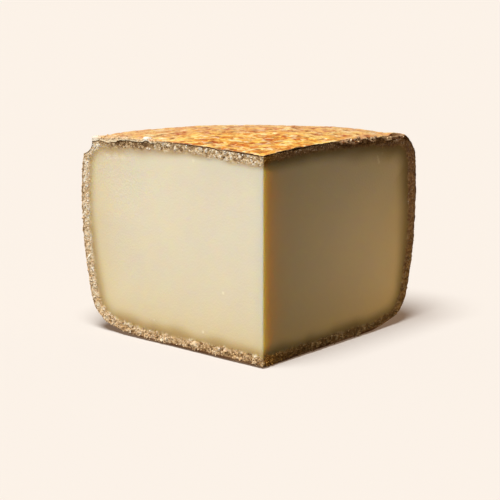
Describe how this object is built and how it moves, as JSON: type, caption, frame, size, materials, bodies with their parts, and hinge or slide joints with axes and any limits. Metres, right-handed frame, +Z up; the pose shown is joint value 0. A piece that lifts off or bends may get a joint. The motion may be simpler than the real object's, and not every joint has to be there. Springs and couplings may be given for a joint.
{
  "type": "quarter wheel of firm sheep's milk cheese",
  "caption": "Quarter of a firm sheep's milk cheese wheel: flat ivory cut faces meeting at an upright edge, low domed toasted crust, bulging granular grey-brown rind, flat base.",
  "frame": {"origin": "on the table under the middle of the piece's bounding box", "axes": "+Z up; the upright edge between the two cut faces is at the front, towards -Y; the wheel's rind side looks to +Y; +X runs across the piece, from the left cut's rind end to the right cut's"},
  "size_m": [0.1846, 0.1302, 0.115],
  "materials": {
    "paste": "smooth waxy ivory cheese paste, slightly translucent, warmer and browner towards the rind",
    "rind": "dry granular grey-brown rind with pale mould bloom, on the side, the base and the rim of the cuts",
    "crust": "orange and yellow mottled crust on the domed top, slightly greasy, with brown pits"
  },
  "bodies": {
    "root": {"cheese_wedge": "paste"}
  },
  "joints": []
}
